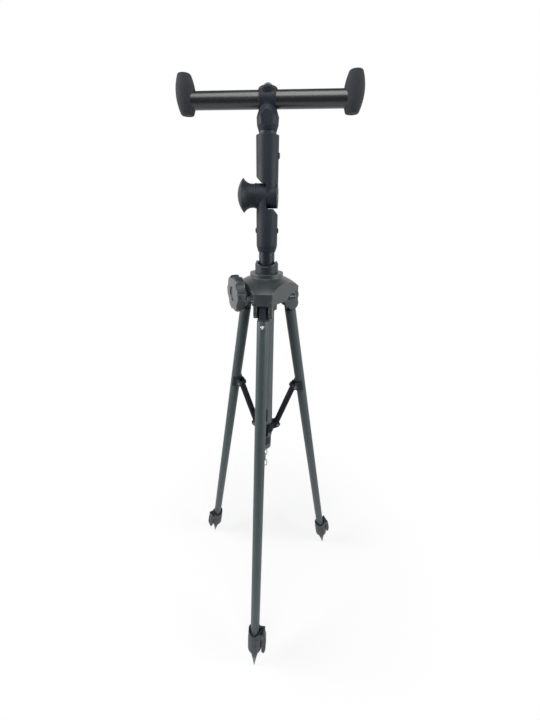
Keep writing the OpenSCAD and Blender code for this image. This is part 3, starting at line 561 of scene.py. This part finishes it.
def grow(name, tree, values):
    holder = bpy.data.objects.new(name + "Seed", bpy.data.meshes.new(name + "Seed"))
    scene.collection.objects.link(holder)
    mod = holder.modifiers.new("grown", "NODES")
    mod.node_group = tree
    for item in tree.interface.items_tree:
        if item.in_out == "INPUT":
            mod[item.identifier] = values[item.name]
    ready = holder.evaluated_get(bpy.context.evaluated_depsgraph_get())
    mesh = bpy.data.meshes.new_from_object(ready)
    mesh.name = name
    holder.modifiers.remove(mod)
    bpy.data.objects.remove(holder)
    piece = bpy.data.objects.new(name, mesh)
    scene.collection.objects.link(piece)
    return piece


# foam barrels on the ends of the bar
bumperShape = {
    "ends": 0.0067, "corner": 0.0008, "around": 64, "rings": 40, "capRings": 5, "packing": 1.7}


def buildBarrelTree(s):
    g, given, result = newGroup(
        "foamBarrel", "GeometryNodeTree",
        {"Half Height": "Float", "Middle Radius": "Float", "End Radius": "Float",
         "Corner": "Float", "Place": "Vector", "Material": "Material"}, {"Geometry": "Geometry"})
    half, ends, corner = given["Half Height"], given["End Radius"], given["Corner"]
    drum = g.nodes.new("GeometryNodeMeshCylinder")
    drum.fill_type = "TRIANGLE_FAN"
    drum.inputs["Vertices"].default_value = s["around"]
    drum.inputs["Side Segments"].default_value = s["rings"]
    drum.inputs["Fill Segments"].default_value = s["capRings"]
    drum.inputs["Radius"].default_value = 1
    drum.inputs["Depth"].default_value = 2
    at = splitXyz(g, g.nodes.new("GeometryNodeInputPosition").outputs[0])

    def calc(operation, first, second=0):
        return mathNode(g, operation, first, second)

    # rings stand closer at the ends, the wall swells in the middle and its corners are round
    up = calc("MINIMUM", calc("ABSOLUTE", at["Z"]), 1)
    packed = calc("SUBTRACT", 1, calc("POWER", calc("SUBTRACT", 1, up), s["packing"]))
    high = calc("MULTIPLY", packed, half)
    swell = calc("SUBTRACT", given["Middle Radius"], ends)
    bulge = calc("SUBTRACT", 1, calc("MULTIPLY", packed, packed))
    wall = calc("ADD", ends, calc("MULTIPLY", swell, bulge))
    over = calc("SUBTRACT", high, calc("SUBTRACT", half, corner))
    bend = calc("MINIMUM", calc("MAXIMUM", calc("DIVIDE", over, corner), 0), 1)
    arc = calc("SQRT", calc("SUBTRACT", 1, calc("MULTIPLY", bend, bend)))
    reach = calc("SUBTRACT", wall, calc("MULTIPLY", corner, calc("SUBTRACT", 1, arc)))
    tall = calc("MULTIPLY", high, calc("SIGN", at["Z"]))
    shaped = joinXyz(g, calc("MULTIPLY", at["X"], reach), calc("MULTIPLY", at["Y"], reach), tall)
    moved = g.nodes.new("ShaderNodeVectorMath")
    g.links.new(shaped, moved.inputs[0])
    g.links.new(given["Place"], moved.inputs[1])
    put = g.nodes.new("GeometryNodeSetPosition")
    g.links.new(drum.outputs["Mesh"], put.inputs["Geometry"])
    g.links.new(moved.outputs["Vector"], put.inputs["Position"])
    endTree(g, put.outputs["Geometry"], given["Material"], result)
    return g


def foamBumper(tree, side, s):
    low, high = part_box(side + "_bumper")
    piece = grow(side + "FoamBumper", tree, {
        "Half Height": (high.z - low.z) / 2, "Middle Radius": (high.y - low.y) / 2,
        "End Radius": s["ends"], "Corner": s["corner"],
        "Place": (low + high) / 2, "Material": materials["foam"]})
    for face in piece.data.polygons:
        face.use_smooth = True
    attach(piece, "arm")
    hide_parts(side + "_bumper")


barrelTree = buildBarrelTree(bumperShape)
for side in ("left", "right"):
    foamBumper(barrelTree, side, bumperShape)
print("foam bumpers made")


# hollow rivet that holds each leg tube to its knuckle, on the outer face of the tube
legRivet = {
    "down": 0.031, "tube": 0.008, "ring": 0.0017, "lip": 0.0007, "stub": 0.0011,
    "ringSteps": 24, "lipSteps": 10, "stubSegments": 20, "stubRings": 8}


def buildRivetTree(s):
    g, given, result = newGroup(
        "hollowRivet", "GeometryNodeTree",
        {"Ring": "Float", "Lip": "Float", "Stub": "Float",
         "Place": "Vector", "Facing": "Vector", "Material": "Material"}, {"Geometry": "Geometry"})

    def circle(radius, steps):
        node = g.nodes.new("GeometryNodeCurvePrimitiveCircle")
        node.inputs["Resolution"].default_value = steps
        g.links.new(radius, node.inputs["Radius"])
        return node.outputs["Curve"]

    rim = g.nodes.new("GeometryNodeCurveToMesh")
    g.links.new(circle(given["Ring"], s["ringSteps"]), rim.inputs["Curve"])
    g.links.new(circle(given["Lip"], s["lipSteps"]), rim.inputs["Profile Curve"])
    core = g.nodes.new("GeometryNodeMeshUVSphere")
    core.inputs["Segments"].default_value = s["stubSegments"]
    core.inputs["Rings"].default_value = s["stubRings"]
    g.links.new(given["Stub"], core.inputs["Radius"])
    both = g.nodes.new("GeometryNodeJoinGeometry")
    g.links.new(rim.outputs["Mesh"], both.inputs["Geometry"])
    g.links.new(core.outputs["Mesh"], both.inputs["Geometry"])
    soft = g.nodes.new("GeometryNodeSetShadeSmooth")
    g.links.new(both.outputs["Geometry"], soft.inputs["Geometry"])
    aim = g.nodes.new("FunctionNodeAlignRotationToVector")
    aim.axis = "Z"
    g.links.new(given["Facing"], aim.inputs["Vector"])
    seat = g.nodes.new("GeometryNodeTransform")
    g.links.new(soft.outputs["Geometry"], seat.inputs["Geometry"])
    g.links.new(given["Place"], seat.inputs["Translation"])
    g.links.new(aim.outputs["Rotation"], seat.inputs["Rotation"])
    endTree(g, seat.outputs["Geometry"], given["Material"], result)
    return g


def rivetLegs(tree, s):
    folds = {j["child"]: j for j in frame["joints"] if j["name"].endswith("_leg_fold")}
    for side in legSides:
        pivot = Vector(folds[side + "_leg"]["pos_m"])
        lean = math.radians(folds[side + "_leg"]["range_deg"][1])  # a folded leg hangs upright
        out = Vector((pivot.x, pivot.y, 0)).normalized()
        along = out * math.sin(lean) - Vector((0, 0, math.cos(lean)))
        facing = out * math.cos(lean) + Vector((0, 0, math.sin(lean)))
        piece = grow(side + "LegRivet", tree, {
            "Ring": s["ring"], "Lip": s["lip"], "Stub": s["stub"],
            "Place": pivot + along * s["down"] + facing * s["tube"], "Facing": facing,
            "Material": materials["bright_chrome"]})
        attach(piece, side + "_leg")


rivetLegs(buildRivetTree(legRivet), legRivet)
print("leg rivets set")
